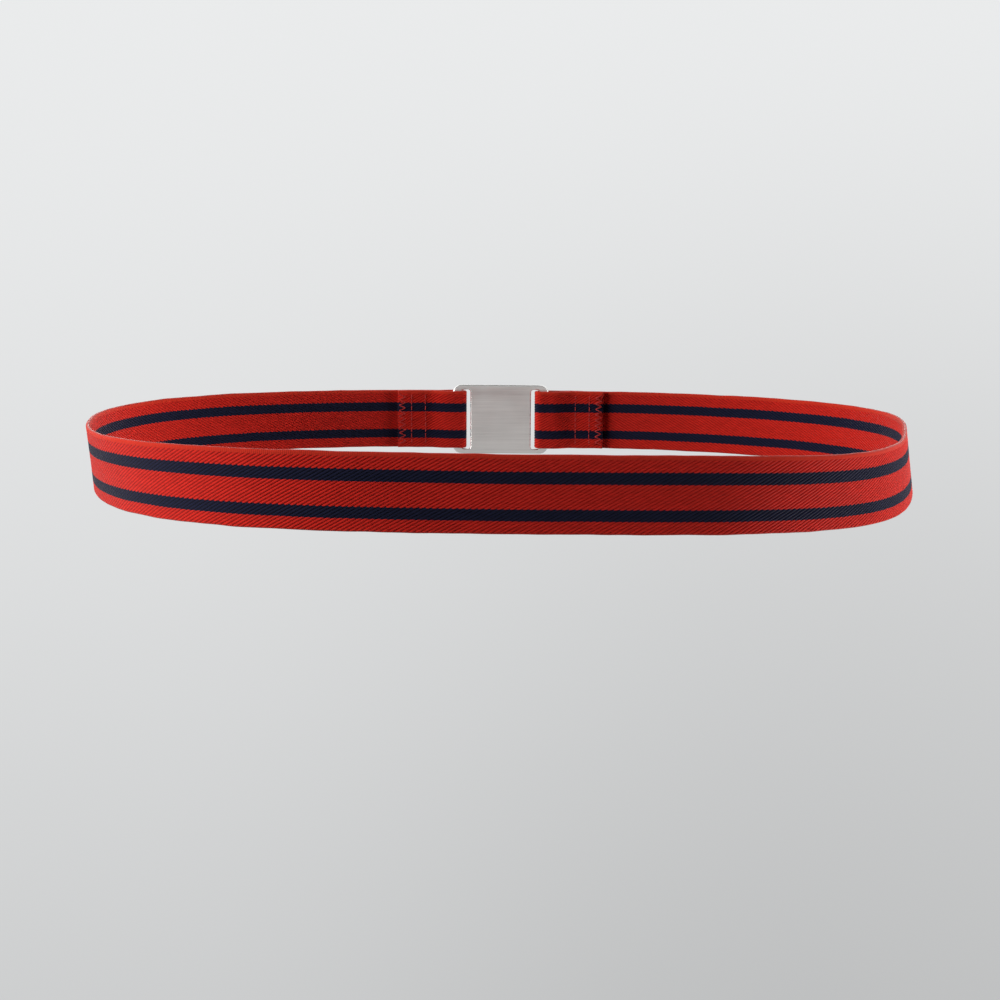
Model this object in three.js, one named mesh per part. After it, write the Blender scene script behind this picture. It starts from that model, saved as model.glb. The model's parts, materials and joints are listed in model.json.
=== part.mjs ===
import * as THREE from 'three';

// Striped elastic cinch belt, closed round the hips.
// Millimetres, +Z up. The front of the body faces -Y and the clasp is at the back, on +Y.
// The origin is the middle of the loop, halfway up the band.

// Driving sizes
const BAND = { width: 25, thickness: 1.6, edgeBevel: 0.4 };
const LOOP = { halfWidth: 150, front: 81, back: 117 };
const CLASP = { length: 42, height: 30, thickness: 2.4, corner: 4, bevel: 0.6 };
const SLOT = { width: 3.6, bar: 4.2, rail: 2, corner: 1 };
const TURN_BACK = { length: 26, taper: 9 };
const GAP = 0.35;
const FACETS = { loopDegrees: 2, wrap: 8, tail: 12 };

// How the band leaves a plain oval: one row for every 15 degrees round the loop, starting at the
// middle of the back and going by the left of the picture (-X) to the front and on by +X.
// outward is added to the oval's reach, height lifts the band, and lean tips its top edge outwards.
const ROWS = [
  // outward mm, height mm, lean degrees
  [2.0, 0.0, 0.0],
  [5.0, 0.0, 0.0],
  [11.5, 0.0, 0.0],
  [18.0, 0.1, -1.0],
  [21.5, 0.2, -2.0],
  [13.5, -0.5, -1.0],
  [-6.0, -1.4, 5.5],
  [-8.0, -0.7, 8.5],
  [-2.0, 0.1, 1.5],
  [1.5, 0.6, -0.5],
  [1.0, 0.5, -2.0],
  [0.0, 0.3, -1.5],
  [0.0, 0.0, 0.0],
  [-1.0, -0.1, 0.5],
  [-1.5, -0.4, -2.0],
  [-0.5, -0.7, -1.0],
  [-4.5, -2.4, 6.0],
  [-6.5, -3.0, -1.0],
  [-7.0, -0.7, -9.5],
  [14.5, 0.1, -7.0],
  [19.0, 0.4, -4.0],
  [15.5, 0.2, -1.5],
  [10.5, 0.0, 0.0],
  [5.0, 0.0, 0.0],
].map(([outward, height, lean]) => ({ outward, height, lean }));

// Sizes that follow from those
const SLOT_HEIGHT = CLASP.height - 2 * SLOT.rail;
const BAR_INNER = CLASP.length / 2 - SLOT.bar;
const WRAP_RADIUS = CLASP.thickness / 2 + GAP + BAND.thickness / 2;
const WRAP_X = BAR_INNER + CLASP.thickness / 2;
const LAYER_STEP = BAND.thickness + GAP;

// A closed cubic B-spline over one column of the rows
function columnAt(degrees, column) {
  const place = (degrees + 180) * ROWS.length / 360;
  const row = Math.floor(place);
  const t = place - row;
  const weights = [(1 - t) ** 3, 3 * t ** 3 - 6 * t ** 2 + 4, -3 * t ** 3 + 3 * t ** 2 + 3 * t + 1, t ** 3];
  const value = (k) => ROWS[(row - 1 + k + ROWS.length) % ROWS.length][column];
  return weights.reduce((sum, weight, k) => sum + weight / 6 * value(k), 0);
}

// The band's centre line at an angle: 0 is the middle of the front, -90 the -X side, 180 the back
function loopPoint(degrees) {
  const angle = THREE.MathUtils.degToRad(degrees);
  const depth = THREE.MathUtils.lerp(LOOP.back, LOOP.front, (1 + Math.cos(angle)) / 2);
  const oval = 1 / Math.hypot(Math.sin(angle) / LOOP.halfWidth, Math.cos(angle) / depth);
  const reach = oval + columnAt(degrees, 'outward');
  return new THREE.Vector3(reach * Math.sin(angle), -reach * Math.cos(angle), columnAt(degrees, 'height'));
}

// A level vector turned a quarter to its right: outwards, where the first runs along the band
function toTheRight(along) {
  return new THREE.Vector3(along.y, -along.x, 0);
}

function levelDirection(from, to) {
  return new THREE.Vector3(to.x - from.x, to.y - from.y, 0).normalize();
}

function frameAt(degrees) {
  const along = levelDirection(loopPoint(degrees - 0.5), loopPoint(degrees + 0.5));
  return { point: loopPoint(degrees), along, outward: toTheRight(along) };
}

// The angle at which the band starts to bend round the clasp's bar
function lastAngle() {
  let angle = 180;
  while (loopPoint(angle).x < WRAP_X) {
    angle -= 0.01;
  }
  return angle;
}

const LAST_ANGLE = lastAngle();
const LAST = frameAt(LAST_ANGLE);
const DEGREES_PER_MM = THREE.MathUtils.radToDeg(1 / LAST.point.length());

// One end of the band, from its bend round the bar to its free tip on the inside.
// side is -1 for the end at -X and 1 for the end at +X.
function turnedEnd(side) {
  const { point, along, outward } = frameAt(side * LAST_ANGLE);
  const centre = point.clone().addScaledVector(outward, -WRAP_RADIUS);
  const stations = [];
  for (let k = 1; k < FACETS.wrap; k++) {
    const turn = Math.PI * k / FACETS.wrap;
    const place = centre.clone().addScaledVector(outward, WRAP_RADIUS * Math.cos(turn));
    stations.push({ point: place.addScaledVector(along, side * WRAP_RADIUS * Math.sin(turn)), lean: 0 });
  }
  for (let k = 0; k <= FACETS.tail; k++) {
    const run = TURN_BACK.length * k / FACETS.tail;
    const beside = frameAt(side * (LAST_ANGLE - run * DEGREES_PER_MM));
    const closed = THREE.MathUtils.smoothstep(run, SLOT.bar, SLOT.bar + TURN_BACK.taper);
    const inward = THREE.MathUtils.lerp(2 * WRAP_RADIUS, LAYER_STEP, closed);
    stations.push({ point: beside.point.addScaledVector(beside.outward, -inward), lean: 0 });
  }
  return stations;
}

// The band's centre line from one free tip to the other
function bandStations() {
  const count = Math.round(2 * LAST_ANGLE / FACETS.loopDegrees);
  const outer = [];
  for (let k = 0; k <= count; k++) {
    const degrees = LAST_ANGLE * (2 * k / count - 1);
    outer.push({ point: loopPoint(degrees), lean: THREE.MathUtils.degToRad(columnAt(degrees, 'lean')) });
  }
  return [...turnedEnd(-1).reverse(), ...outer, ...turnedEnd(1)];
}

// The band's bevelled cross-section: across is measured up the band, through towards its outer face
function sectionCorners() {
  const across = BAND.width / 2;
  const through = BAND.thickness / 2;
  const bevel = BAND.edgeBevel;
  const quarter = [[across - bevel, through], [across, through - bevel]];
  const top = [...quarter, ...quarter.map(([a, t]) => [a, -t]).reverse()];
  return [...top, ...top.map(([a, t]) => [-a, -t])];
}

// Sweeps the cross-section along the stations and closes both tips
function bandGeometry() {
  const stations = bandStations();
  const corners = sectionCorners();
  const positions = [];
  stations.forEach(({ point, lean }, k) => {
    const before = stations[Math.max(k - 1, 0)].point;
    const after = stations[Math.min(k + 1, stations.length - 1)].point;
    const outward = toTheRight(levelDirection(before, after));
    const up = new THREE.Vector3(0, 0, 1);
    const across = up.clone().multiplyScalar(Math.cos(lean)).addScaledVector(outward, Math.sin(lean));
    const through = outward.clone().multiplyScalar(Math.cos(lean)).addScaledVector(up, -Math.sin(lean));
    for (const [a, t] of corners) {
      positions.push(...point.clone().addScaledVector(across, a).addScaledVector(through, t).toArray());
    }
  });
  const n = corners.length;
  const faces = [];
  for (let k = 0; k < stations.length - 1; k++) {
    for (let j = 0; j < n; j++) {
      const a = k * n + j;
      const b = k * n + (j + 1) % n;
      faces.push(a, a + n, b, b, a + n, b + n);
    }
  }
  const last = (stations.length - 1) * n;
  for (let j = 1; j < n - 1; j++) {
    faces.push(0, j, j + 1, last, last + j + 1, last + j);
  }
  const geometry = new THREE.BufferGeometry();
  geometry.setAttribute('position', new THREE.Float32BufferAttribute(positions, 3));
  geometry.setIndex(faces);
  geometry.computeVertexNormals();
  return geometry;
}

// A rectangle with round corners about (x, 0), drawn on a shape or on a hole's path
function roundedRectangle(path, x, width, height, radius) {
  const w = width / 2 - radius;
  const h = height / 2 - radius;
  path.moveTo(x + w + radius, -h);
  path.absarc(x + w, h, radius, 0, Math.PI / 2);
  path.absarc(x - w, h, radius, Math.PI / 2, Math.PI);
  path.absarc(x - w, -h, radius, Math.PI, 1.5 * Math.PI);
  path.absarc(x + w, -h, radius, 1.5 * Math.PI, 2 * Math.PI);
  return path;
}

// The clasp: a flat plate with a slot near each end, which leaves a bar for the band to go round
function claspGeometry() {
  const plate = roundedRectangle(new THREE.Shape(), 0, CLASP.length, CLASP.height, CLASP.corner);
  const slotX = BAR_INNER - SLOT.width / 2;
  for (const x of [-slotX, slotX]) {
    plate.holes.push(roundedRectangle(new THREE.Path(), x, SLOT.width, SLOT_HEIGHT, SLOT.corner));
  }
  const geometry = new THREE.ExtrudeGeometry(plate, {
    depth: CLASP.thickness - 2 * CLASP.bevel,
    bevelThickness: CLASP.bevel,
    bevelSize: CLASP.bevel,
    bevelOffset: -CLASP.bevel,
    bevelSegments: 2,
    curveSegments: 6,
  });
  geometry.center();
  return geometry;
}

const elastic = new THREE.MeshStandardMaterial({
  name: 'elastic',
  color: 0xc2281f,
  roughness: 0.85,
  metalness: 0,
});
const metal = new THREE.MeshStandardMaterial({
  name: 'metal',
  color: 0xb9b9b5,
  roughness: 0.35,
  metalness: 1,
});

const band = new THREE.Mesh(bandGeometry(), elastic);
band.name = 'band';

const clasp = new THREE.Mesh(claspGeometry(), metal);
clasp.name = 'clasp';
clasp.rotation.x = Math.PI / 2;
clasp.position.y = LAST.point.y - WRAP_RADIUS;

const belt = new THREE.Group();
belt.name = 'cinch_belt';
belt.add(band, clasp);

export default belt;
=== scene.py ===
"""Skinny cinch belt: striped twill elastic, closed round the hips by a plain clasp at the back.

The webbing is woven flat, cut to length, creased where it bends, and then laid along its path
through the clasp. Its ends are sewn down, and the belt hangs in the air as a wearer holds it.
"""

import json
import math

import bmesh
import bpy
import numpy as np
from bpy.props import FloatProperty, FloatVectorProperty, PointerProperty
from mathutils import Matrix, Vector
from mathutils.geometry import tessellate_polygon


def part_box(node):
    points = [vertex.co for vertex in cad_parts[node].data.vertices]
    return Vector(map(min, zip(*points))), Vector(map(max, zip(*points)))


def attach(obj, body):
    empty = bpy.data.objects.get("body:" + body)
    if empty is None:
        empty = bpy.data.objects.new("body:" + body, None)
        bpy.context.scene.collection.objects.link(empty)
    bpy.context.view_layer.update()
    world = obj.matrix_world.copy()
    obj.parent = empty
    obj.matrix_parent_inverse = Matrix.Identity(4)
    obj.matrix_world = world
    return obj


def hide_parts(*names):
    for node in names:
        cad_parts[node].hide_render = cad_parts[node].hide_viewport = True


bl_info = {
    "name": "Skinny cinch belt",
    "version": (1, 0, 0),
    "blender": (4, 5, 0),
    "location": "3D View > Sidebar > Cinch belt",
    "description": "Weaves a striped elastic belt round its packed frame, finishes its clasp and lights it",
    "category": "Add Mesh",
}

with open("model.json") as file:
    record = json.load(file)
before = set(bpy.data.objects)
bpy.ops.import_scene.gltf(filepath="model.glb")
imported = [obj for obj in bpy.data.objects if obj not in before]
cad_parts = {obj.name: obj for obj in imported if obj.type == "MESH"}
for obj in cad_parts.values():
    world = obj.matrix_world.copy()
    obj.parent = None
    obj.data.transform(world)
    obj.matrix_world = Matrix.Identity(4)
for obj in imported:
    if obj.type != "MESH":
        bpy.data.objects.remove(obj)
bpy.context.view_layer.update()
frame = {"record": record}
CLASP_LOW, CLASP_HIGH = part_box("clasp")
SLOT_COLOURS = {material["slot"]: material["base_color"] for material in frame["record"]["materials"]}
MM = 0.001

# How the band leaves a plain oval
TABLE_DEGREES = 15
HALF_TURN = 180
OVAL = {"half_width": 150 * MM, "front": 81 * MM, "back": 117 * MM}
# One row for every 15 degrees round the loop, from the middle of the back by -X to the front
PATH_ROWS = np.array([
    # outward mm, height mm, lean degrees
    [2.0, 0.0, 0.0],
    [5.0, 0.0, 0.0],
    [11.5, 0.0, 0.0],
    [18.0, 0.1, -1.0],
    [21.5, 0.2, -2.0],
    [13.5, -0.5, -1.0],
    [-6.0, -1.4, 5.5],
    [-8.0, -0.7, 8.5],
    [-2.0, 0.1, 1.5],
    [1.5, 0.6, -0.5],
    [1.0, 0.5, -2.0],
    [0.0, 0.3, -1.5],
    [0.0, 0.0, 0.0],
    [-1.0, -0.1, 0.5],
    [-1.5, -0.4, -2.0],
    [-0.5, -0.7, -1.0],
    [-4.5, -2.4, 6.0],
    [-6.5, -3.0, -1.0],
    [-7.0, -0.7, -9.5],
    [14.5, 0.1, -7.0],
    [19.0, 0.4, -4.0],
    [15.5, 0.2, -1.5],
    [10.5, 0.0, 0.0],
    [5.0, 0.0, 0.0],
])
TAPER = 9 * MM

# How finely the band's path is followed
PATH_STEP = 0.1 * MM
TRIAL_DEGREES = 0.01
BESIDE_DEGREES = 0.5
LOOP_SAMPLES = 12001
BEND_SAMPLES = 120
TAIL_SAMPLES = 400
CREASE_TURN = math.radians(8)
TIGHT_TURN_PER_MM = math.radians(2.5)
CREASE_MARGIN = 6 * MM
UP = np.array([0.0, 0.0, 1.0])

# Unevenness of the webbing, as the seed and the reach of each kind, and the waves that make it up
UNEVEN = {"drift": (3, 0.09 * MM), "swell": (5, 0.03 * MM), "edge": (8, 0.06 * MM)}
WAVES = 14
WAVELENGTHS_MM = (9, 60)
WAVE_TILT = 1.2
# How far the stitches pull the webbing in
SEAM_DENT = {"depth": 0.11 * MM, "reach": 0.8 * MM}

# Weave: the columns of vertices over one rib are shares of the way from one groove to the next
RIB_COLUMNS = np.array([0.0, 0.13, 0.32, 0.5, 0.68, 0.87])
RIB_FULLNESS = 0.6
RIB_MIDDLE = 0.6
FACE_ROWS = 8
EDGE_ANGLES = np.radians([35, 0, -35])
EDGE_ROUNDING = 0.55 * MM
EDGE_RUN = 0.3 * MM
TWILL_FADE = 0.35 * MM
YARNS_PER_RIB = 3
# A float is one yarn's short run over a rib; this share of the painted groove shade follows the floats,
# darkening each towards its ends, and the rest follows the ribs
FLOAT_FULLNESS = 0.7
FLOAT_SHADE_SHARE = 0.5
PICK_PITCH = 0.667 * MM
STRIPE_TOOTH = 0.34 * MM
STRIPE_BLUR = 0.08 * MM

# Finishes, by what makes them: noise cells a metre, shares of tone and of roughness, and relief in
# millimetres
YARN_CLOUDS = {"cells": (50, 160, 0), "tone": 0.06}
YARN_FUZZ = {"cells": (1500, 3200, 0), "tone": 0.10, "rough": 0.06, "relief": 0.006}
YARN_FLOATS = {"tone": 0.10, "relief": 0.06}
PICK_RELIEF = 0.04
THREAD_TWIST = {"tone": 0.14, "relief": 0.03}
THREAD_FUZZ = {"cells": (2500, 1.5, 0), "tone": 0.1, "rough": 0.08, "relief": 0.01}
BRUSHING = {"cells": (60, 60, 5000), "tone": 0.14, "relief": 0.004}
STREAKS = {"cells": (30, 30, 1400), "tone": 0.12, "rough": 0.08, "relief": 0.003}
SMUDGES = {"cells": (90, 90, 90), "tone": 0.07, "rough": 0.08}
WEAR_POLISH = 0.08

# Layout of the webbing's skin on a square map that a bake of its colours can go through
MAP_NAME = "OFBake"
MAP_ROWS = 4
MAP_MARGIN = 5 * MM
MAP_GAP = 2 * MM
# Where each cut end lies along the map, in widths of the band
MAP_ENDS = (0.7, 1.9)
# Length of the rounded edge from one face of the webbing to the other
EDGE_ARC = 2.07 * MM
# What counts as no distance at all
HAIR = 0.001 * MM

# Stitches
THREAD_SIDES = 8
THREAD_RINGS = 11
THREAD_SINK = 0.30 * MM
THREAD_RISE = 0.42 * MM
STITCH_FULLNESS = 0.5
TWIST_PITCH = 0.9 * MM
THREAD_PLIES = 2
STITCH_MARGIN = 1.7 * MM
HOLE_GAP = 0.25 * MM
ZIGZAG_REACH = (0.6 * MM, 3.4 * MM)

# Clasp: its outlines are those of the plate and of its two slots
OUTLINES = 3
CORNER_POINTS = 9
BEVEL_RINGS = 5
PLATE_MARGIN = 0.25 * MM

# Stage: the floor's rings, what share of its colour is paint and not glow, and how its glow falls off
FLOOR_RINGS = (0.4, 1.2, 2.2)
FLOOR_RISE = 1.6
COVE_RINGS = 17
WALL_HEIGHT = 3.5
FLOOR_TURNS = 96
FLOOR_PAINT = 0.03
FLOOR_CLOUDS = {"cells": (0.7, 0.7, 0.7), "tone": 0.006}
LOWER_DIM = {"rise": (0.3, -1), "tone": 0.39}
RIGHT_DIM = {"rise": (0.22, -0.28), "side": (-0.3, 0.3), "tone": 0.107}
SENSOR_WIDTH = 36
LIGHT_DISTANCE = 1.4
SOFT_LIGHTS = (
    # name, bearing and rise in degrees, size in metres, and the setting that holds its power
    ("left_softbox", -74, 9, 0.9, "left_power"),
    ("right_softbox", 89, -5, 0.9, "right_power"),
    ("upper_softbox", 0, 55, 0.9, "upper_power"),
    ("left_back_softbox", -150, 35, 1.1, "back_power"),
    ("right_back_softbox", 150, 35, 1.1, "back_power"),
)


# Settings that a user may change


class BandSettings(bpy.types.PropertyGroup):
    width: FloatProperty(
        name="Width", description="Width of the webbing, which stands upright on the body",
        default=25 * MM, unit="LENGTH",
    )
    thickness: FloatProperty(
        name="Thickness", description="Thickness of the webbing over its ribs",
        default=1.6 * MM, unit="LENGTH",
    )
    turn_back: FloatProperty(
        name="Turn-back", description="Length of each end past its bend round the clasp's bar",
        default=26 * MM, unit="LENGTH",
    )
    gap: FloatProperty(
        name="Gap", description="Room left between the webbing and what it touches",
        default=0.35 * MM, unit="LENGTH",
    )
    rib_along: FloatProperty(
        name="Rib pitch along", description="Distance from one twill rib to the next, along the band",
        default=2 * MM, unit="LENGTH",
    )
    rib_across: FloatProperty(
        name="Rib pitch across", description="Distance from one twill rib to the next, up the band",
        default=1.13 * MM, unit="LENGTH",
    )
    rib_depth: FloatProperty(
        name="Rib depth", description="Depth of the groove between two ribs",
        default=0.22 * MM, unit="LENGTH",
    )
    top_selvedge: FloatProperty(
        name="Top selvedge", description="Width of the plain strip along the top edge",
        default=1.3 * MM, unit="LENGTH",
    )
    bottom_selvedge: FloatProperty(
        name="Bottom selvedge", description="Width of the plain strip along the bottom edge",
        default=0.3 * MM, unit="LENGTH",
    )
    upper_stripe: FloatVectorProperty(
        name="Upper stripe", description="Lower and upper edge of the upper navy stripe, from mid-band",
        default=(3.2 * MM, 7.2 * MM), size=2, unit="LENGTH",
    )
    lower_stripe: FloatVectorProperty(
        name="Lower stripe", description="Lower and upper edge of the lower navy stripe, from mid-band",
        default=(-8.35 * MM, -4.5 * MM), size=2, unit="LENGTH",
    )
    red: FloatVectorProperty(
        name="Red", description="Colour of the red yarn on a rib's crown",
        default=(0.67, 0.026, 0.016), size=3, min=0, max=1, subtype="COLOR",
    )
    # Painted shade: the red yarn darkened as if lying in shade down a groove
    shaded_red: FloatVectorProperty(
        name="Deep red", description="Colour of the red yarn down in a groove",
        default=(0.36, 0.003, 0.002), size=3, min=0, max=1, subtype="COLOR",
    )
    navy: FloatVectorProperty(
        name="Navy", description="Colour of the navy yarn on a rib's crown",
        default=(0.013, 0.015, 0.041), size=3, min=0, max=1, subtype="COLOR",
    )
    # Painted shade: the navy yarn darkened as if lying in shade down a groove
    shaded_navy: FloatVectorProperty(
        name="Deep navy", description="Colour of the navy yarn down in a groove",
        default=(0.002, 0.003, 0.008), size=3, min=0, max=1, subtype="COLOR",
    )
    edge_red: FloatVectorProperty(
        name="Edge red", description="Colour of the plain selvedges",
        default=(0.62, 0.034, 0.017), size=3, min=0, max=1, subtype="COLOR",
    )


class StitchSettings(bpy.types.PropertyGroup):
    thread: FloatProperty(
        name="Thread", description="Diameter of the sewing thread",
        default=0.4 * MM, unit="LENGTH",
    )
    stitch: FloatProperty(
        name="Stitch", description="Length of one stitch in a straight row",
        default=2.5 * MM, unit="LENGTH",
    )
    first_row: FloatProperty(
        name="First row", description="Distance of the nearer straight row from the cut end",
        default=6 * MM, unit="LENGTH",
    )
    second_row: FloatProperty(
        name="Second row", description="Distance of the farther straight row from the cut end",
        default=12 * MM, unit="LENGTH",
    )
    zigzag_step: FloatProperty(
        name="Zigzag step", description="How far up the band each stitch of the zigzag goes",
        default=1.2 * MM, unit="LENGTH",
    )
    colour: FloatVectorProperty(
        name="Thread colour", description="Colour of the sewing thread",
        default=(0.52, 0.020, 0.016), size=3, min=0, max=1, subtype="COLOR",
    )


class ClaspSettings(bpy.types.PropertyGroup):
    bar: FloatProperty(
        name="Bar", description="Width of the bar that the webbing goes round",
        default=4.2 * MM, unit="LENGTH",
    )
    slot: FloatProperty(
        name="Slot", description="Width of the slot beside the bar",
        default=3.6 * MM, unit="LENGTH",
    )
    rail: FloatProperty(
        name="Rail", description="Height of the plate above and below a slot",
        default=2 * MM, unit="LENGTH",
    )
    corner: FloatProperty(
        name="Corner", description="Radius of the plate's corners",
        default=4 * MM, unit="LENGTH",
    )
    slot_corner: FloatProperty(
        name="Slot corner", description="Radius of a slot's corners",
        default=1 * MM, unit="LENGTH",
    )
    bevel: FloatProperty(
        name="Bevel", description="Radius to which the plate's edges are rounded",
        default=0.6 * MM, unit="LENGTH",
    )
    colour: FloatVectorProperty(
        name="Metal", description="Colour of the satin metal",
        default=SLOT_COLOURS["metal"], size=3, min=0, max=1, subtype="COLOR",
    )
    worn_colour: FloatVectorProperty(
        name="Worn metal", description="Colour of the metal where its edges are rubbed",
        default=(0.74, 0.73, 0.71), size=3, min=0, max=1, subtype="COLOR",
    )


class StageSettings(bpy.types.PropertyGroup):
    floor_drop: FloatProperty(
        name="Floor drop", description="How far the floor is under a belt worn on the hips",
        default=0.9, unit="LENGTH",
    )
    floor_reach: FloatProperty(
        name="Floor reach", description="Radius of the flat floor, past which it curves up",
        default=3.2, unit="LENGTH",
    )
    floor_colour: FloatVectorProperty(
        name="Floor", description="Colour of the floor and the backdrop",
        default=(0.83, 0.84, 0.845), size=3, min=0, max=1, subtype="COLOR",
    )
    camera_distance: FloatProperty(
        name="Camera distance", description="How far the camera is in front of the origin",
        default=534.98 * MM, unit="LENGTH",
    )
    camera_height: FloatProperty(
        name="Camera height", description="How far the camera is above the origin",
        default=76.43 * MM, unit="LENGTH",
    )
    camera_pitch: FloatProperty(
        name="Camera pitch", description="How far down the camera looks",
        default=math.radians(9.765), subtype="ANGLE",
    )
    camera_roll: FloatProperty(
        name="Camera roll", description="How far the camera is turned about its line of sight",
        default=math.radians(0.41), subtype="ANGLE",
    )
    camera_lens: FloatProperty(
        name="Lens", description="Focal length of the camera in millimetres, on a 36 mm sensor",
        default=54,
    )
    left_power: FloatProperty(
        name="Left light", description="Power of the soft light at the left",
        default=27, unit="POWER",
    )
    right_power: FloatProperty(
        name="Right light", description="Power of the soft light at the right",
        default=26, unit="POWER",
    )
    upper_power: FloatProperty(
        name="Upper light", description="Power of the weak soft light above the camera",
        default=1.5, unit="POWER",
    )
    back_power: FloatProperty(
        name="Back lights", description="Power of each of the two soft lights behind",
        default=8, unit="POWER",
    )


class CinchBeltSettings(bpy.types.PropertyGroup):
    band: PointerProperty(name="Band", description="The webbing", type=BandSettings)
    stitches: PointerProperty(name="Stitches", description="The thread in its ends", type=StitchSettings)
    clasp: PointerProperty(name="Clasp", description="The plate that joins its ends", type=ClaspSettings)
    stage: PointerProperty(name="Stage", description="Camera, floor and light", type=StageSettings)


# Shader maths


class Signal:
    """A shader socket that takes part in sums as a number does."""

    def __init__(self, shader, socket):
        self.shader = shader
        self.socket = socket

    def __add__(self, other):
        return self.shader.maths("ADD", self, other)

    def __sub__(self, other):
        return self.shader.maths("SUBTRACT", self, other)

    def __rsub__(self, other):
        return self.shader.maths("SUBTRACT", other, self)

    def __mul__(self, other):
        return self.shader.maths("MULTIPLY", self, other)

    def __truediv__(self, other):
        return self.shader.maths("DIVIDE", self, other)

    def __pow__(self, other):
        return self.shader.maths("POWER", self, other)

    def __abs__(self):
        return self.shader.maths("ABSOLUTE", self)

    __radd__ = __add__
    __rmul__ = __mul__

    def arch(self):
        """Rises from 0 to 1 and falls back as this signal goes from one whole number to the next."""
        return self.shader.maths("SINE", self.shader.maths("FRACT", self) * math.pi)

    def wave(self):
        return self.shader.maths("SINE", self)

    def floor(self):
        return self.shader.maths("FLOOR", self)

    def most(self, other):
        return self.shader.maths("MAXIMUM", self, other)

    def ramp(self, start, end, low=0.0, high=1.0):
        """Goes smoothly from low to high as this signal goes from start to end."""
        sockets = {"Value": self, "From Min": start, "From Max": end, "To Min": low, "To Max": high}
        return self.shader.node("ShaderNodeMapRange", {"interpolation_type": "SMOOTHSTEP"}, sockets)


class Shader:
    """A material with one Principled shader, and the nodes that feed it."""

    def __init__(self, name):
        self.material = bpy.data.materials.new(name)
        self.material.use_nodes = True
        self.tree = self.material.node_tree
        self.surface = self.tree.nodes["Principled BSDF"]

    def node(self, kind, settings=None, sockets=None, output=0):
        """Adds a node, sets it up, feeds its sockets and returns one of its outputs."""
        node = self.tree.nodes.new(kind)
        for name, value in (settings or {}).items():
            setattr(node, name, value)
        self.feed(node, sockets or {})
        return Signal(self, node.outputs[output])

    def feed(self, node, sockets):
        for name, value in sockets.items():
            if isinstance(value, Signal):
                self.tree.links.new(value.socket, node.inputs[name])
            else:
                node.inputs[name].default_value = value

    def maths(self, operation, *values):
        return self.node("ShaderNodeMath", {"operation": operation}, dict(enumerate(values)))

    def stored(self, name):
        """A vector stored on the mesh's points."""
        return self.node("ShaderNodeAttribute", {"attribute_name": name}, output=1)

    def parts(self, vector):
        """The three numbers of a vector."""
        first = self.node("ShaderNodeSeparateXYZ", None, {"Vector": vector})
        return [Signal(self, socket) for socket in first.socket.node.outputs]

    def mix(self, factor, first, second):
        """Goes from the first colour to the second as factor goes from 0 to 1."""
        sockets = {"Factor": factor, 6: opaque(first), 7: opaque(second)}
        return self.node("ShaderNodeMix", {"data_type": "RGBA"}, sockets, output=2)

    def shade(self, colour, factor):
        """Multiplies a colour by a number."""
        sockets = {0: colour, "Scale": factor}
        return self.node("ShaderNodeVectorMath", {"operation": "SCALE"}, sockets)

    def noise(self, place, cells, detail=2.0):
        """Noise from -1 to 1, with so many cells a metre along each axis of place."""
        scaled = self.node("ShaderNodeVectorMath", {"operation": "MULTIPLY"}, {0: place, 1: cells})
        cloud = self.node("ShaderNodeTexNoise", None, {"Vector": scaled, "Scale": 1.0, "Detail": detail})
        return cloud * 2 - 1

    def lot(self, x, y):
        """A number from -1 to 1 drawn for each pair of whole numbers."""
        pair = self.node("ShaderNodeCombineXYZ", None, {"X": x, "Y": y})
        return self.node("ShaderNodeTexWhiteNoise", None, {"Vector": pair}) * 2 - 1

    def bump(self, height):
        """A normal from a height in metres."""
        return self.node("ShaderNodeBump", None, {"Height": height, "Strength": 1.0, "Distance": 1.0})

    def finish(self, **sockets):
        """Feeds the Principled shader. An underscore in a name stands for a space."""
        self.feed(self.surface, {name.replace("_", " "): value for name, value in sockets.items()})
        return self.material


def opaque(colour):
    return colour if isinstance(colour, Signal) else (*colour, 1.0)


# Path of the band


def row_values(degrees):
    """Outward reach, height and lean at these angles, from a closed cubic B-spline of the rows."""
    place = (degrees + HALF_TURN) / TABLE_DEGREES
    row = np.floor(place).astype(int)
    t = (place - row)[:, None]
    weights = ((1 - t) ** 3, 3 * t**3 - 6 * t**2 + 4, -3 * t**3 + 3 * t**2 + 3 * t + 1, t**3)
    blended = sum(w / 6 * PATH_ROWS[(row - 1 + k) % len(PATH_ROWS)] for k, w in enumerate(weights))
    return blended[:, 0] * MM, blended[:, 1] * MM, np.radians(blended[:, 2])


def loop_points(degrees):
    """The centre line at these angles: 0 is the middle of the front, -90 the -X side, 180 the back."""
    outward, height, _ = row_values(degrees)
    sine = np.sin(np.radians(degrees))
    cosine = np.cos(np.radians(degrees))
    depth = OVAL["back"] + (OVAL["front"] - OVAL["back"]) * (1 + cosine) / 2
    reach = 1 / np.hypot(sine / OVAL["half_width"], cosine / depth) + outward
    return np.stack([reach * sine, -reach * cosine, height], axis=1)


def to_the_right(points):
    """Level unit vectors to the right of a run of points: outwards, where it goes round the loop."""
    along = np.gradient(points[:, :2], axis=0)
    along /= np.linalg.norm(along, axis=1)[:, None]
    return np.stack([along[:, 1], -along[:, 0], np.zeros(len(along))], axis=1)


def smoothly(value, start, end):
    """Goes from 0 to 1 as value goes from start to end."""
    t = np.clip((value - start) / (end - start), 0, 1)
    return t * t * (3 - 2 * t)


def uneven(along, across, seed, reach):
    """Smooth unevenness from about -reach to reach, the same each run."""
    draw = np.random.default_rng(seed)
    total = np.zeros(len(along))
    for _ in range(WAVES):
        wavelength = draw.uniform(*WAVELENGTHS_MM) * MM
        tilt = draw.uniform(-WAVE_TILT, WAVE_TILT)
        start = draw.uniform(0, 2 * math.pi)
        total += np.sin(2 * math.pi * (along + tilt * across) / wavelength + start)
    return total / math.sqrt(WAVES) * reach


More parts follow.
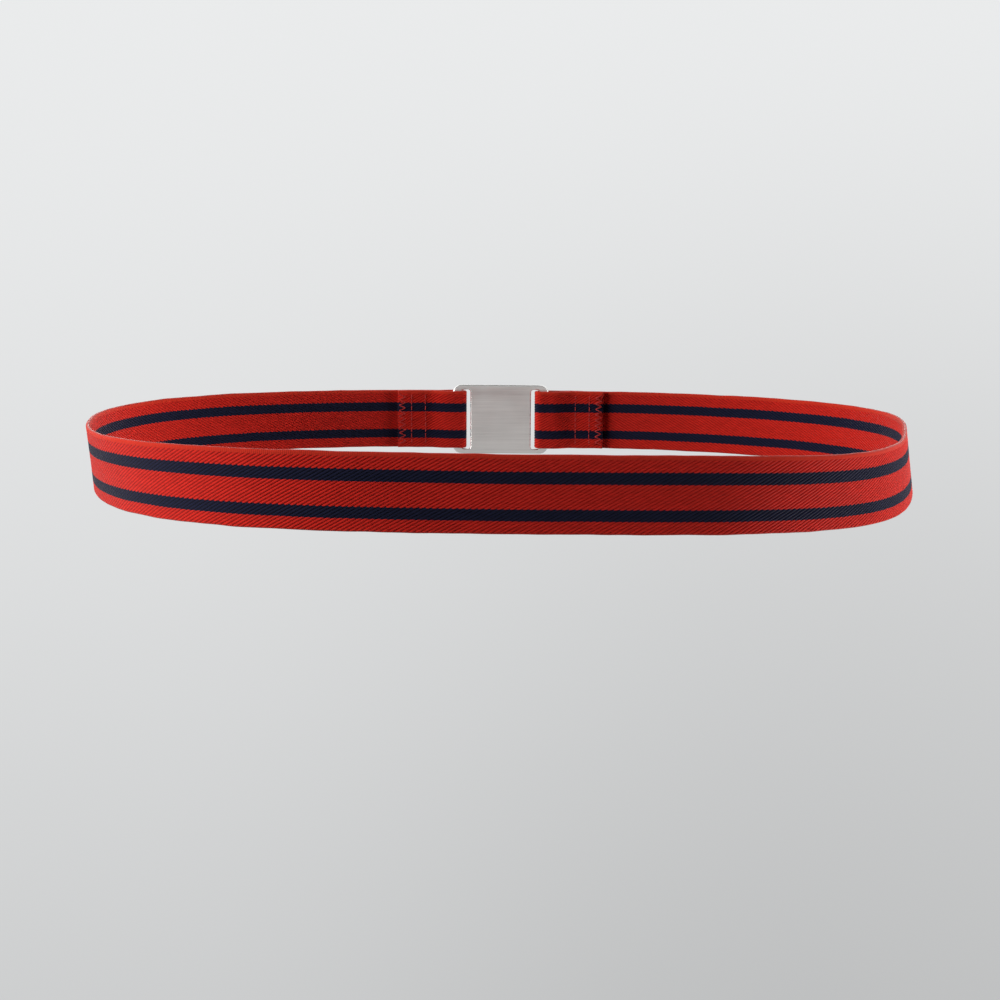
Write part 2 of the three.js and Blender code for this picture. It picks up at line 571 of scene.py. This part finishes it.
class BandPath:
    """The webbing's centre line from one cut end to the other, read by the length along it."""

    def __init__(self, belt):
        self.band = belt.band
        self.stitches = belt.stitches
        self.bar = belt.clasp.bar
        plate = (CLASP_HIGH - CLASP_LOW).y
        self.bend_radius = plate / 2 + self.band.gap + self.band.thickness / 2
        bend_x = CLASP_HIGH.x - self.bar + plate / 2
        trial = np.arange(HALF_TURN - TABLE_DEGREES, HALF_TURN, TRIAL_DEGREES)
        last = trial[np.argmax(loop_points(trial)[:, 0] < bend_x)]
        degrees = np.linspace(-last, last, LOOP_SAMPLES)
        runs = [self.turned_end(-last, -1)[::-1], loop_points(degrees), self.turned_end(last, 1)]
        points = np.concatenate(runs)
        lean = np.concatenate([np.zeros(len(runs[0])), row_values(degrees)[2], np.zeros(len(runs[2]))])
        place = np.concatenate([[0], np.cumsum(np.linalg.norm(np.diff(points, axis=0), axis=1))])
        self.length = place[-1]
        self.loop_start = place[len(runs[0])]
        self.loop_end = place[-len(runs[2]) - 1]
        self.place = np.linspace(0, self.length, round(self.length / PATH_STEP) + 1)
        self.points = np.stack([np.interp(self.place, place, column) for column in points.T], axis=1)
        self.lean = np.interp(self.place, place, lean)
        self.outward = to_the_right(self.points)

    def turned_end(self, last, side):
        """Points from the bend round the bar to the cut end, which lies inside the loop."""
        near = loop_points(last + BESIDE_DEGREES * np.array([-1, 0, 1]))
        outward = to_the_right(near)[1]
        along = np.array([-outward[1], outward[0], 0])
        turn = np.linspace(0, math.pi, BEND_SAMPLES)[1:-1, None]
        arc = outward * np.cos(turn) + side * along * np.sin(turn)
        bend = near[1] + self.bend_radius * (arc - outward)
        run = np.linspace(0, self.band.turn_back, TAIL_SAMPLES)
        degrees = last - side * run * math.degrees(1 / np.linalg.norm(near[1]))
        beside = loop_points(degrees)
        outward_beside = -side * to_the_right(beside)
        closed = smoothly(run, self.bar, self.bar + TAPER)[:, None]
        layers = self.band.thickness + self.band.gap
        inward = 2 * self.bend_radius * (1 - closed) + layers * closed
        return np.concatenate([bend, beside - outward_beside * inward])

    def sewn_places(self, from_tip):
        """Where stitches that are this far from a cut end show: on both layers, at both ends."""
        past_bend = self.band.turn_back - from_tip
        return [from_tip, self.loop_start + past_bend, self.loop_end - past_bend, self.length - from_tip]

    def tight_bends(self):
        """Places where the webbing has to be creased across to follow its bends."""
        heading = np.unwrap(np.arctan2(self.outward[:, 1], self.outward[:, 0]))
        turn = np.abs(np.diff(heading))
        turn[turn * MM / PATH_STEP < TIGHT_TURN_PER_MM] = 0
        turned = np.concatenate([[0], np.cumsum(turn)])
        wanted = np.arange(CREASE_TURN / 2, turned[-1], CREASE_TURN)
        return self.place[np.unique(np.searchsorted(turned, wanted))]

    def lay(self, flat):
        """Turns flat places (along, across, through) into places on the belt."""
        along, across, through = self.softened(flat).T
        centre = np.stack([np.interp(along, self.place, column) for column in self.points.T], axis=1)
        outward = np.stack([np.interp(along, self.place, column) for column in self.outward.T], axis=1)
        outward /= np.linalg.norm(outward, axis=1)[:, None]
        lean = np.interp(along, self.place, self.lean)[:, None]
        across_way = UP * np.cos(lean) + outward * np.sin(lean)
        through_way = outward * np.cos(lean) - UP * np.sin(lean)
        return centre + across_way * across[:, None] + through_way * through[:, None]

    def softened(self, flat):
        """Gives flat webbing its slightly uneven weave, and the dents that its stitches pull in it."""
        along, across, through = flat.T
        drift, swell, edge = (uneven(along, across, *UNEVEN[kind]) for kind in ("drift", "swell", "edge"))
        dent = np.zeros(len(flat))
        for from_tip in (self.stitches.first_row, self.stitches.second_row):
            for place in self.sewn_places(from_tip):
                dent += np.exp(-(((along - place) / SEAM_DENT["reach"]) ** 2))
        return np.stack([
            along + drift,
            across + edge * across / (self.band.width / 2),
            through + swell - dent * SEAM_DENT["depth"],
        ], axis=1)


# Meshes


def strip_faces(rings, size):
    """Quads between each ring of vertices and the next."""
    corner = np.arange(size)
    after = (corner + 1) % size
    start = (np.arange(rings - 1) * size)[:, None]
    quads = [start + corner, start + after, start + size + after, start + size + corner]
    return np.stack(quads, axis=2).reshape(-1, 4)


def build_mesh(name, places, faces):
    """A mesh of closed bodies, with its faces pointing out."""
    mesh = bpy.data.meshes.new(name)
    mesh.from_pydata(places, [], faces)
    work = bmesh.new()
    work.from_mesh(mesh)
    bmesh.ops.recalc_face_normals(work, faces=work.faces[:])
    work.to_mesh(mesh)
    work.free()
    return mesh


def vertex_places(mesh):
    flat = np.empty(len(mesh.vertices) * 3, np.float32)
    mesh.vertices.foreach_get("co", flat)
    return flat.reshape(-1, 3).astype(float)


def store(mesh, name, vectors):
    """Stores a vector on each point of a mesh, for its material."""
    layer = mesh.attributes.new(name, "FLOAT_VECTOR", "POINT")
    layer.data.foreach_set("vector", np.asarray(vectors, np.float32).ravel())


def move_vertices(mesh, places):
    mesh.vertices.foreach_set("co", np.asarray(places, np.float32).ravel())
    shade_smooth(mesh)


def shade_smooth(mesh):
    mesh.polygons.foreach_set("use_smooth", np.ones(len(mesh.polygons), bool))
    mesh.update()


def add_piece(name, mesh, material):
    """Puts a mesh in the scene as a piece with the given material."""
    piece = bpy.data.objects.new(name, mesh)
    bpy.context.scene.collection.objects.link(piece)
    piece.data.materials.append(material)
    return piece


# Webbing


def twill_share(band, across):
    """1 where the webbing is ribbed and 0 on its plain selvedges."""
    half = band.width / 2
    top = 1 - smoothly(across, half - band.top_selvedge - TWILL_FADE, half - band.top_selvedge)
    low = band.bottom_selvedge - half
    return top * smoothly(across, low, low + TWILL_FADE)


def section(band):
    """A ring of (across, through, side) round the webbing, side being 1 outside and -1 inside."""
    half = band.width / 2
    deep = band.thickness / 2
    flat_half = half - EDGE_ROUNDING
    selvedge = half - band.top_selvedge
    rows = np.linspace(EDGE_RUN - flat_half, selvedge - TWILL_FADE, FACE_ROWS)
    rows = [-flat_half, *rows, selvedge, flat_half - EDGE_RUN, flat_half]
    edge = [(flat_half + EDGE_ROUNDING * math.cos(a), deep * math.sin(a), 0) for a in EDGE_ANGLES]
    outside = [(across, deep, 1) for across in rows]
    inside = [(across, -deep, -1) for across in reversed(rows)]
    return np.array([*outside, *edge, *inside, *[(-across, -through, 0) for across, through, _ in edge]])


def weave_flat(band, total):
    """Weaves the webbing flat, with its columns along the ribs, too long at both ends."""
    ring = section(band)
    slope = band.rib_along / band.rib_across
    spare = slope * band.width / 2 + band.rib_along
    ribs = np.arange(math.floor(-spare / band.rib_along), math.ceil((total + spare) / band.rib_along))
    columns = (ribs[:, None] + RIB_COLUMNS).ravel()[:, None] * band.rib_along
    crown = np.sin(math.pi * (columns / band.rib_along % 1)) ** RIB_FULLNESS
    groove = band.rib_depth * (1 - crown) * twill_share(band, ring[:, 0])
    across = np.broadcast_to(ring[:, 0], groove.shape)
    places = np.stack([columns + slope * across, across, ring[:, 1] - ring[:, 2] * groove], axis=2)
    return places.reshape(-1, 3), strip_faces(len(columns), len(ring))


def cut_and_crease(mesh, total, creases):
    """Cuts both ends square, closes them, and creases the webbing across where it will bend."""
    work = bmesh.new()
    work.from_mesh(mesh)
    for place, away in ((0, -1), (total, 1)):
        everything = work.verts[:] + work.edges[:] + work.faces[:]
        cut = bmesh.ops.bisect_plane(
            work, geom=everything, plane_co=(place, 0, 0), plane_no=(away, 0, 0), clear_outer=True
        )
        rim = [part for part in cut["geom_cut"] if isinstance(part, bmesh.types.BMEdge)]
        bmesh.ops.edgeloop_fill(work, edges=rim)
    for group in (creases[creases < total / 2], creases[creases > total / 2]):
        low = group.min() - CREASE_MARGIN
        high = group.max() + CREASE_MARGIN
        faces = [face for face in work.faces if low < face.calc_center_median().x < high]
        parts = faces + list({edge for face in faces for edge in face.edges})
        parts += list({vertex for face in faces for vertex in face.verts})
        for place in group:
            cut = bmesh.ops.bisect_plane(work, geom=parts, plane_co=(place, 0, 0), plane_no=(1, 0, 0))
            parts = cut["geom"]
    bmesh.ops.triangulate(work, faces=work.faces[:])
    bmesh.ops.recalc_face_normals(work, faces=work.faces[:])
    work.to_mesh(mesh)
    work.free()


def lay_out_skin(mesh, band, flat, total):
    """Unfolds the triangles of the flat webbing on a square map, in rows, with its cut ends past them."""
    corners = np.empty(len(mesh.loops), np.int32)
    mesh.loops.foreach_get("vertex_index", corners)
    triangles = flat[corners].reshape(-1, 3, 3)
    along, across, through = np.moveaxis(triangles, 2, 0)
    middle = triangles.mean(axis=1, keepdims=True)

    face = band.width / 2 - EDGE_ROUNDING
    turned = EDGE_ARC * (1 - through / (band.thickness / 2)) / 2
    around = np.where(through > 0, across, 2 * face + EDGE_ARC - across)
    around = np.where(across > face + HAIR, face + turned, around)
    bottom = np.where(middle[:, :, 2] > 0, -face - turned, 3 * face + 2 * EDGE_ARC - turned)
    around = np.where(across < -face - HAIR, bottom, around) + face + EDGE_ARC / 2

    row_length = total / MAP_ROWS
    row_height = 4 * face + 2 * EDGE_ARC + MAP_GAP
    row = np.clip(middle[:, :, 0] // row_length, 0, MAP_ROWS - 1)
    x = along - row * row_length + MAP_MARGIN
    y = around + row * row_height + MAP_GAP

    cut_end = np.ptp(along, axis=1, keepdims=True) < HAIR
    past_rows = MAP_ROWS * row_height + MAP_GAP + band.thickness
    end_place = np.where(middle[:, :, 0] < total / 2, *MAP_ENDS)
    x = np.where(cut_end, across + band.width * end_place, x)
    y = np.where(cut_end, through + past_rows, y)
    side = max(row_length + 2 * MAP_MARGIN, past_rows + band.thickness)
    layer = mesh.uv_layers.new(name=MAP_NAME)
    layer.uv.foreach_set("vector", (np.stack([x, y], axis=2) / side).astype(np.float32).ravel())


def webbing_material(band):
    """Red and navy yarns in a twill with plain selvedges, with painted shade down the grooves and at the
    floats' ends, worked out from each point's flat place.
    """
    shader = Shader("twill_webbing")
    flat = shader.stored("flat_place")
    along, across, _ = shader.parts(flat)
    half = band.width / 2
    yarn = band.rib_across / YARNS_PER_RIB

    ribs_along = along / band.rib_along
    rib = (ribs_along - across / band.rib_across).arch() ** RIB_FULLNESS
    yarn_row = (across / yarn).floor()
    yarn_phase = ribs_along - (yarn_row + 0.5) / YARNS_PER_RIB
    float_rise = yarn_phase.arch()
    yarn_round = (across / yarn).arch()

    top = across.ramp(half - band.top_selvedge - TWILL_FADE, half - band.top_selvedge)
    bottom = across.ramp(band.bottom_selvedge - half, band.bottom_selvedge - half + TWILL_FADE, 1, 0)
    selvedge = top.most(bottom)
    twill = 1 - selvedge

    cloudy = shader.noise(flat, YARN_CLOUDS["cells"])
    fuzzy = shader.noise(flat, YARN_FUZZ["cells"], detail=1.0)
    float_lot = shader.lot(yarn_phase.floor(), yarn_row)

    tooth = STRIPE_TOOTH * (rib - RIB_MIDDLE)
    stripes = [
        ((high - low) / 2 - abs(across - (high + low) / 2) - tooth).ramp(-STRIPE_BLUR, STRIPE_BLUR)
        for low, high in (band.upper_stripe, band.lower_stripe)
    ]
    navy = stripes[0].most(stripes[1])

    crown = shader.mix(navy, shader.mix(selvedge, band.red, band.edge_red), band.navy)
    # Painted shade: the yarns darkened as if lying in shade down a groove
    groove = shader.mix(navy, band.shaded_red, band.shaded_navy)
    # How far each point is out of the painted shade: full on a rib's crown and on the selvedges, none down
    # in a groove or at a float's ends
    unshaded_share = (rib * (1 - FLOAT_SHADE_SHARE) + float_rise ** FLOAT_FULLNESS * FLOAT_SHADE_SHARE).most(selvedge)
    tone = 1 + cloudy * YARN_CLOUDS["tone"] + fuzzy * YARN_FUZZ["tone"]
    tone = tone + float_lot * twill * YARN_FLOATS["tone"]

    picks = (along / PICK_PITCH).arch()
    height = twill * float_rise * yarn_round * YARN_FLOATS["relief"]
    height = height + selvedge * picks * PICK_RELIEF + fuzzy * YARN_FUZZ["relief"]
    return shader.finish(
        Base_Color=shader.shade(shader.mix(unshaded_share, groove, crown), tone),
        Roughness=0.66 + fuzzy * YARN_FUZZ["rough"],
        Specular_IOR_Level=0.0,
        Sheen_Weight=0.42,
        Sheen_Roughness=0.4,
        Sheen_Tint=(1.0, 0.92, 0.92, 1.0),
        Normal=shader.bump(height * MM),
    )


class CINCH_OT_band(bpy.types.Operator):
    """Weave the striped band and lay it round the loop and through the clasp"""

    bl_idname = "cinch.band"
    bl_label = "Woven band"
    bl_options = {"REGISTER", "UNDO"}

    def execute(self, context):
        belt = context.scene.cinch_belt
        path = BandPath(belt)
        mesh = bpy.data.meshes.new("woven_band")
        places, faces = weave_flat(belt.band, path.length)
        mesh.from_pydata(places, [], faces)
        cut_and_crease(mesh, path.length, path.tight_bends())
        flat = vertex_places(mesh)
        store(mesh, "flat_place", flat)
        lay_out_skin(mesh, belt.band, flat, path.length)
        move_vertices(mesh, path.lay(flat))
        piece = add_piece("woven_band", mesh, webbing_material(belt.band))
        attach(piece, "root")
        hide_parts("band")
        return {"FINISHED"}


# Stitches


def stitch_tube(start, end, radius):
    """One stitch on the flat webbing from hole to hole, with each vertex's place on the thread."""
    run = np.linspace(0, 1, THREAD_RINGS)[:, None]
    line = start + (end - start) * run
    line += UP * (np.sin(math.pi * run) ** STITCH_FULLNESS * THREAD_RISE - THREAD_SINK)
    along = np.gradient(line, axis=0)
    along /= np.linalg.norm(along, axis=1)[:, None]
    side = np.cross(along, UP)
    side /= np.linalg.norm(side, axis=1)[:, None]
    top = np.cross(side, along)
    angle = np.linspace(0, 2 * math.pi, THREAD_SIDES, endpoint=False)[:, None]
    ring = side[:, None] * np.cos(angle) + top[:, None] * np.sin(angle)
    places = line[:, None] + radius * ring
    length = np.linalg.norm(end - start)
    thread = np.stack(np.broadcast_arrays(run * length, angle.T, 0.0), axis=2)
    return places.reshape(-1, 3), thread.reshape(-1, 3)


def hole_heights(band, step):
    """Heights of a row of needle holes up the band, about a step apart."""
    reach = band.width / 2 - STITCH_MARGIN
    return np.linspace(-reach, reach, round(2 * reach / step) + 1)


def straight_row(along, heights):
    """The two ends of each stitch of a row that goes straight up the band."""
    pairs = zip(heights, heights[1:])
    return [((along, low + HOLE_GAP / 2), (along, high - HOLE_GAP / 2)) for low, high in pairs]


def zigzag_row(near, far, heights):
    """The two ends of each stitch of a row that goes to and fro between two places."""
    holes = [((near, far)[k % 2], height) for k, height in enumerate(heights)]
    return list(zip(holes, holes[1:]))


def thread_material(stitches):
    """Twisted thread with a slight shine."""
    shader = Shader("sewing_thread")
    place = shader.stored("thread_place")
    run, angle, _ = shader.parts(place)
    twist = (run * (2 * math.pi / TWIST_PITCH) + angle * THREAD_PLIES).wave()
    fuzzy = shader.noise(place, THREAD_FUZZ["cells"])
    tone = 1 + twist * THREAD_TWIST["tone"] + fuzzy * THREAD_FUZZ["tone"]
    return shader.finish(
        Base_Color=shader.shade(stitches.colour, tone),
        Roughness=0.5 + fuzzy * THREAD_FUZZ["rough"],
        Specular_IOR_Level=0.3,
        Sheen_Weight=0.1,
        Normal=shader.bump((twist * THREAD_TWIST["relief"] + fuzzy * THREAD_FUZZ["relief"]) * MM),
    )


class CINCH_OT_stitches(bpy.types.Operator):
    """Sew down both turned-back ends with two straight rows and a zigzag near the cut"""

    bl_idname = "cinch.stitches"
    bl_label = "Stitches"
    bl_options = {"REGISTER", "UNDO"}

    def execute(self, context):
        belt = context.scene.cinch_belt
        path = BandPath(belt)
        rows = []
        for from_tip in (belt.stitches.first_row, belt.stitches.second_row):
            for along in path.sewn_places(from_tip):
                rows += straight_row(along, hole_heights(belt.band, belt.stitches.stitch))
        near, far = (path.sewn_places(reach) for reach in ZIGZAG_REACH)
        for places in zip(near, far):
            rows += zigzag_row(*places, hole_heights(belt.band, belt.stitches.zigzag_step))
        surface = belt.band.thickness / 2
        tubes = [
            stitch_tube(np.array([*start, surface]), np.array([*end, surface]), belt.stitches.thread / 2)
            for start, end in rows
        ]
        size = THREAD_RINGS * THREAD_SIDES
        walls = strip_faces(THREAD_RINGS, THREAD_SIDES).tolist()
        caps = [list(range(THREAD_SIDES)), list(range(size - THREAD_SIDES, size))]
        faces = [[corner + k * size for corner in face] for k in range(len(tubes)) for face in walls + caps]
        mesh = build_mesh("stitches", np.concatenate([places for places, _ in tubes]), faces)
        store(mesh, "thread_place", np.concatenate([thread for _, thread in tubes]))
        move_vertices(mesh, path.lay(vertex_places(mesh)))
        piece = add_piece("stitches", mesh, thread_material(belt.stitches))
        piece.parent = bpy.data.objects["woven_band"]
        return {"FINISHED"}


# Clasp


def rounded_rectangle(x, width, height, radius):
    """Points round a rectangle with round corners about (x, 0)."""
    corners = []
    for quarter, (right, top) in enumerate(((1, 1), (-1, 1), (-1, -1), (1, -1))):
        angle = np.linspace(0, math.pi / 2, CORNER_POINTS) + quarter * math.pi / 2
        centre = np.array([x + right * (width / 2 - radius), top * (height / 2 - radius)])
        corners.append(centre + radius * np.stack([np.cos(angle), np.sin(angle)], axis=1))
    return np.concatenate(corners)


def edge_profile(bevel, thickness):
    """(inset, depth, wear) of each ring from the front face over the rounded edge to the back face."""
    face = thickness / 2
    rings = [(bevel + PLATE_MARGIN, -face, 0.0)]
    for angle in np.linspace(0, math.pi / 2, BEVEL_RINGS):
        depth = face - bevel * (1 - math.cos(angle))
        rings.append((bevel * (1 - math.sin(angle)), -depth, math.sin(2 * angle)))
    return rings + [(inset, -depth, wear) for inset, depth, wear in reversed(rings)]


def plate_outlines(clasp, inset):
    """Outlines of the plate and of its two slots, with the metal's edge drawn back by the inset."""
    size = CLASP_HIGH - CLASP_LOW
    slot_x = size.x / 2 - clasp.bar - clasp.slot / 2
    slot_width = clasp.slot + 2 * inset
    slot_height = size.z - 2 * clasp.rail + 2 * inset
    slot_corner = clasp.slot_corner + inset
    plate = rounded_rectangle(0, size.x - 2 * inset, size.z - 2 * inset, clasp.corner - inset)
    slots = [rounded_rectangle(x, slot_width, slot_height, slot_corner) for x in (-slot_x, slot_x)]
    return [plate, *slots]


def build_plate(clasp):
    """The clasp's plate, whose outer edge and slots are rounded. Its front faces -Y."""
    centre = (CLASP_HIGH + CLASP_LOW) / 2
    profile = edge_profile(clasp.bevel, (CLASP_HIGH - CLASP_LOW).y)
    size = 4 * CORNER_POINTS
    starts = [number * size * len(profile) for number in range(OUTLINES)]
    wall = strip_faces(len(profile), size)
    places = []
    faces = []
    for number, start in enumerate(starts):
        faces += (wall + start).tolist()
        for inset, depth, _ in profile:
            places += [(x, depth, z) for x, z in plate_outlines(clasp, inset)[number]]
    fronts = [np.arange(size) + start for start in starts]
    to_back = (len(profile) - 1) * size
    order = np.concatenate(fronts)
    for triangle in tessellate_polygon([[Vector(places[k]).xzy for k in front] for front in fronts]):
        face = order[list(triangle)]
        faces += [face.tolist(), (face[::-1] + to_back).tolist()]
    mesh = build_mesh("clasp_plate", np.array(places) + np.array(centre), faces)
    store(mesh, "wear", [(wear, 0, 0) for _, _, wear in profile for _ in range(size)] * OUTLINES)
    shade_smooth(mesh)
    return mesh


def metal_material(clasp):
    """Satin metal brushed along the plate, brighter and smoother where its edges are rubbed."""
    shader = Shader("satin_metal")
    place = shader.node("ShaderNodeTexCoord", output=3)
    wear, _, _ = shader.parts(shader.stored("wear"))
    brushed = shader.noise(place, BRUSHING["cells"], detail=3.0)
    streaks = shader.noise(place, STREAKS["cells"])
    smudges = shader.noise(place, SMUDGES["cells"], detail=3.0)
    tone = 1 + brushed * BRUSHING["tone"] + streaks * STREAKS["tone"] + smudges * SMUDGES["tone"]
    return shader.finish(
        Base_Color=shader.shade(shader.mix(wear, clasp.colour, clasp.worn_colour), tone),
        Metallic=1.0,
        Roughness=0.34 + streaks * STREAKS["rough"] + smudges * SMUDGES["rough"] - wear * WEAR_POLISH,
        Normal=shader.bump((brushed * BRUSHING["relief"] + streaks * STREAKS["relief"]) * MM),
    )


class CINCH_OT_clasp(bpy.types.Operator):
    """Finish the plain plate that joins the band's ends at the back"""

    bl_idname = "cinch.clasp"
    bl_label = "Clasp plate"
    bl_options = {"REGISTER", "UNDO"}

    def execute(self, context):
        clasp = context.scene.cinch_belt.clasp
        piece = add_piece("clasp_plate", build_plate(clasp), metal_material(clasp))
        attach(piece, "root")
        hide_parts("clasp")
        return {"FINISHED"}


# Stage


def place_camera(scene, stage):
    """The camera, in front of the belt and a little above it."""
    data = bpy.data.cameras.new("camera")
    data.sensor_width = SENSOR_WIDTH
    data.lens = stage.camera_lens
    camera = bpy.data.objects.new("camera", data)
    scene.collection.objects.link(camera)
    level = Matrix.Translation((0, -stage.camera_distance, stage.camera_height))
    pitch = Matrix.Rotation(math.pi / 2 - stage.camera_pitch, 4, "X")
    camera.matrix_world = level @ pitch @ Matrix.Rotation(stage.camera_roll, 4, "Z")
    scene.camera = camera


def floor_material(stage):
    """Pale paint with a glow of its own, which is painted light: the glow is a little darker low down under
    the belt and towards +X.
    """
    shader = Shader("studio_floor")
    place = shader.node("ShaderNodeTexCoord", output=3)
    x, y, z = shader.parts(place)
    reach = (x * x + y * y + z * z) ** 0.5
    rise = z / reach
    side = (x / reach).ramp(*RIGHT_DIM["side"])
    cloudy = shader.noise(place, FLOOR_CLOUDS["cells"])
    # Painted light: the glow dims lower down and towards +X
    glow = 1 - rise.ramp(*LOWER_DIM["rise"]) * LOWER_DIM["tone"]
    glow = glow - rise.ramp(*RIGHT_DIM["rise"]) * side * RIGHT_DIM["tone"]
    glow = glow + cloudy * FLOOR_CLOUDS["tone"]
    return shader.finish(
        Base_Color=opaque([channel * FLOOR_PAINT for channel in stage.floor_colour]),
        Roughness=0.9,
        Specular_IOR_Level=0.0,
        Emission_Color=shader.shade(stage.floor_colour, glow),
        Emission_Strength=1.0,
    )


def build_floor(scene, stage):
    """A round floor whose rim curves up into a wall, turned from one profile."""
    arc = np.radians(np.linspace(0, 90, COVE_RINGS))
    cove = stage.floor_reach + FLOOR_RISE * np.sin(arc)
    radii = [*FLOOR_RINGS, *cove, stage.floor_reach + FLOOR_RISE]
    heights = np.array([*np.zeros(len(FLOOR_RINGS)), *(FLOOR_RISE * (1 - np.cos(arc))), WALL_HEIGHT])
    heights -= stage.floor_drop
    angle = np.linspace(0, 2 * math.pi, FLOOR_TURNS, endpoint=False)
    rings = [
        np.stack([radius * np.cos(angle), radius * np.sin(angle), np.full(FLOOR_TURNS, height)], axis=1)
        for radius, height in zip(radii, heights)
    ]
    faces = strip_faces(len(rings), FLOOR_TURNS)[:, ::-1].tolist() + [list(range(FLOOR_TURNS))]
    mesh = bpy.data.meshes.new("studio_floor")
    mesh.from_pydata(np.concatenate(rings), [], faces)
    mesh.materials.append(floor_material(stage))
    shade_smooth(mesh)
    floor = bpy.data.objects.new("studio_floor", mesh)
    floor.visible_diffuse = False
    floor.visible_shadow = False
    scene.collection.objects.link(floor)


def soft_light(scene, name, bearing, rise, size, power):
    """A square soft light that faces the belt. Bearing 0 is in front and 90 at +X, in degrees."""
    turn = math.radians(bearing)
    tilt = math.radians(rise)
    way = Vector((math.sin(turn) * math.cos(tilt), -math.cos(turn) * math.cos(tilt), math.sin(tilt)))
    data = bpy.data.lights.new(name, "AREA")
    data.size = size
    data.energy = power
    light = bpy.data.objects.new(name, data)
    scene.collection.objects.link(light)
    light.location = way * LIGHT_DISTANCE
    light.rotation_mode = "QUATERNION"
    light.rotation_quaternion = (-way).to_track_quat("-Z", "Y")
    light.visible_camera = False


def set_lights(scene, stage):
    """The soft lights, in a studio that gives no light of its own."""
    for name, bearing, rise, size, power in SOFT_LIGHTS:
        soft_light(scene, name, bearing, rise, size, getattr(stage, power))
    world = bpy.data.worlds.new("studio")
    world.use_nodes = True
    world.node_tree.nodes["Background"].inputs["Strength"].default_value = 0
    scene.world = world


class CINCH_OT_stage(bpy.types.Operator):
    """Set up the camera, the round floor that curves up into a backdrop, and the soft lights"""

    bl_idname = "cinch.stage"
    bl_label = "Stage"
    bl_options = {"REGISTER", "UNDO"}

    def execute(self, context):
        stage = context.scene.cinch_belt.stage
        place_camera(context.scene, stage)
        build_floor(context.scene, stage)
        set_lights(context.scene, stage)
        context.scene.view_settings.view_transform = "Standard"
        return {"FINISHED"}


# Panel and registration


class CINCH_PT_belt(bpy.types.Panel):
    """The pieces of the belt, in the order in which they are made"""

    bl_idname = "CINCH_PT_belt"
    bl_label = "Skinny cinch belt"
    bl_space_type = "VIEW_3D"
    bl_region_type = "UI"
    bl_category = "Cinch belt"

    def draw(self, context):
        for operator in OPERATORS:
            self.layout.operator(operator.bl_idname)


SETTINGS = (BandSettings, StitchSettings, ClaspSettings, StageSettings, CinchBeltSettings)
OPERATORS = (CINCH_OT_band, CINCH_OT_stitches, CINCH_OT_clasp, CINCH_OT_stage)
CLASSES = (*SETTINGS, *OPERATORS, CINCH_PT_belt)


def register():
    for item in CLASSES:
        bpy.utils.register_class(item)
    bpy.types.Scene.cinch_belt = PointerProperty(type=CinchBeltSettings)


def unregister():
    del bpy.types.Scene.cinch_belt
    for item in reversed(CLASSES):
        bpy.utils.unregister_class(item)


def main():
    register()
    bpy.ops.cinch.band()
    bpy.ops.cinch.stitches()
    bpy.ops.cinch.clasp()
    bpy.ops.cinch.stage()


if __name__ == "__main__":
    main()
